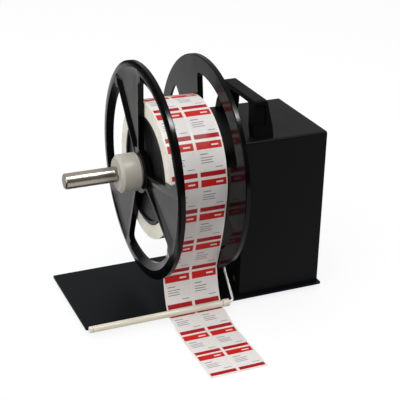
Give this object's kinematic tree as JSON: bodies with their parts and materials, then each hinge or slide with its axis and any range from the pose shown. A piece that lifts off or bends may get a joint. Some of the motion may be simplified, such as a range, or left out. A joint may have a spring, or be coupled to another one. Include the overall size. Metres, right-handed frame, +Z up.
{
  "type": "label rewinder",
  "caption": "Motorised label rewinder: black housing on a base plate, cantilevered spindle with a label roll between spoked flanges, nylon lock hub and guide roller on a tension arm.",
  "frame": {"origin": "on the table under the middle of the whole outline, with the web's tail counted in", "axes": "+X along the spindle from its free end towards the housing, +Y to the back, +Z up"},
  "size_m": [0.263, 0.2845, 0.252],
  "materials": {
    "black_plate": "satin black paint on sheet steel",
    "black_sheet": "matte black powder coat",
    "foot_rubber": "matte black rubber",
    "zinc": "zinc plated",
    "plate_steel": "plain rolled steel",
    "cast_aluminium": "turned aluminium",
    "ground_steel": "ground steel",
    "polished_steel": "polished steel",
    "bright_rod": "bright drawn rod",
    "motor_case": "grey motor case",
    "board_green": "solder resist",
    "turned_brass": "turned brass and bronze",
    "black_moulding": "textured moulding",
    "black_gloss": "glossy moulding",
    "flange_gloss": "glossy black moulding",
    "gear_plastic": "acetal",
    "ivory_nylon": "turned ivory nylon",
    "label_paper": "coated label paper",
    "rocker_red": "glossy moulding"
  },
  "bodies": {
    "chassis": {"base_plate": "black_plate", "rubber_feet": "foot_rubber", "base_screws": "zinc", "housing_cover": "black_sheet", "end_plate": "black_sheet", "end_plate_screws": "zinc", "side_plate": "black_sheet", "rear_bearing_plate": "plate_steel", "tie_bars": "plate_steel", "carry_handle": "black_moulding", "handle_screws": "zinc", "bearing_housings": "cast_aluminium", "bearing_screws": "zinc", "bearing_outer_rings": "ground_steel", "bearing_balls": "ground_steel", "gear_motor": "motor_case", "motor_screws": "zinc", "circuit_board": "board_green", "board_standoffs": "turned_brass", "dc_inlet": "black_moulding", "power_switch_body": "black_gloss", "direction_switch_body": "black_gloss", "speed_potentiometer": "cast_aluminium", "arm_pivot_bush": "turned_brass", "arm_stop_pin": "foot_rubber", "arm_sensor": "black_moulding", "label_web": "label_paper"},
    "spindle": {"spindle_shaft": "polished_steel", "bearing_inner_rings": "ground_steel", "spindle_spacers": "cast_aluminium", "spindle_circlip": "ground_steel", "drive_gear": "gear_plastic", "flange_collar": "cast_aluminium", "inner_flange": "flange_gloss", "core_drum": "black_moulding", "label_roll": "label_paper"},
    "sliding_flange": {"outer_flange": "flange_gloss", "lock_hub": "ivory_nylon", "lock_screw": "ground_steel"},
    "motor_shaft": {"motor_pinion": "ground_steel"},
    "arm": {"tension_arm": "bright_rod", "arm_pivot_pin": "ground_steel", "sensor_flag": "plate_steel", "roller_collar": "ivory_nylon", "roller_cap": "ivory_nylon"},
    "roller": {"guide_roller": "ivory_nylon"},
    "power_paddle": {"power_rocker": "rocker_red"},
    "direction_paddle": {"direction_rocker": "black_gloss"},
    "knob": {"knob_shaft": "ground_steel", "speed_knob": "black_moulding"}
  },
  "joints": [
    {"name": "spindle_spin", "type": "hinge", "parent": "chassis", "child": "spindle", "pos_m": [-0.0315, 0.03125, 0.141], "axis": [1, 0, 0], "continuous": true},
    {"name": "flange_slide", "type": "slide", "parent": "spindle", "child": "sliding_flange", "axis": [-1, 0, 0], "range_m": [0, 0.05]},
    {"name": "motor_spin", "type": "hinge", "parent": "chassis", "child": "motor_shaft", "pos_m": [0.0685, 0.05696, 0.11036], "axis": [1, 0, 0], "continuous": true},
    {"name": "arm_swing", "type": "hinge", "parent": "chassis", "child": "arm", "pos_m": [0.0245, 0.03125, 0.0815], "axis": [-1, 0, 0], "range_deg": [0, 35]},
    {"name": "roller_spin", "type": "hinge", "parent": "arm", "child": "roller", "pos_m": [-0.0575, -0.03625, 0.0105], "axis": [1, 0, 0], "continuous": true},
    {"name": "power_switch", "type": "hinge", "parent": "chassis", "child": "power_paddle", "pos_m": [0.056, 0.08575, 0.0555], "axis": [-1, 0, 0], "range_deg": [0, 16]},
    {"name": "direction_switch", "type": "hinge", "parent": "chassis", "child": "direction_paddle", "pos_m": [0.081, 0.08575, 0.0555], "axis": [1, 0, 0], "range_deg": [-8, 8]},
    {"name": "speed_turn", "type": "hinge", "parent": "chassis", "child": "knob", "pos_m": [0.107, 0.09125, 0.0555], "axis": [0, 1, 0], "range_deg": [-150, 150]}
  ],
  "couplings": [
    {"joint": "motor_spin", "follows": "spindle_spin", "ratio": -3}
  ]
}
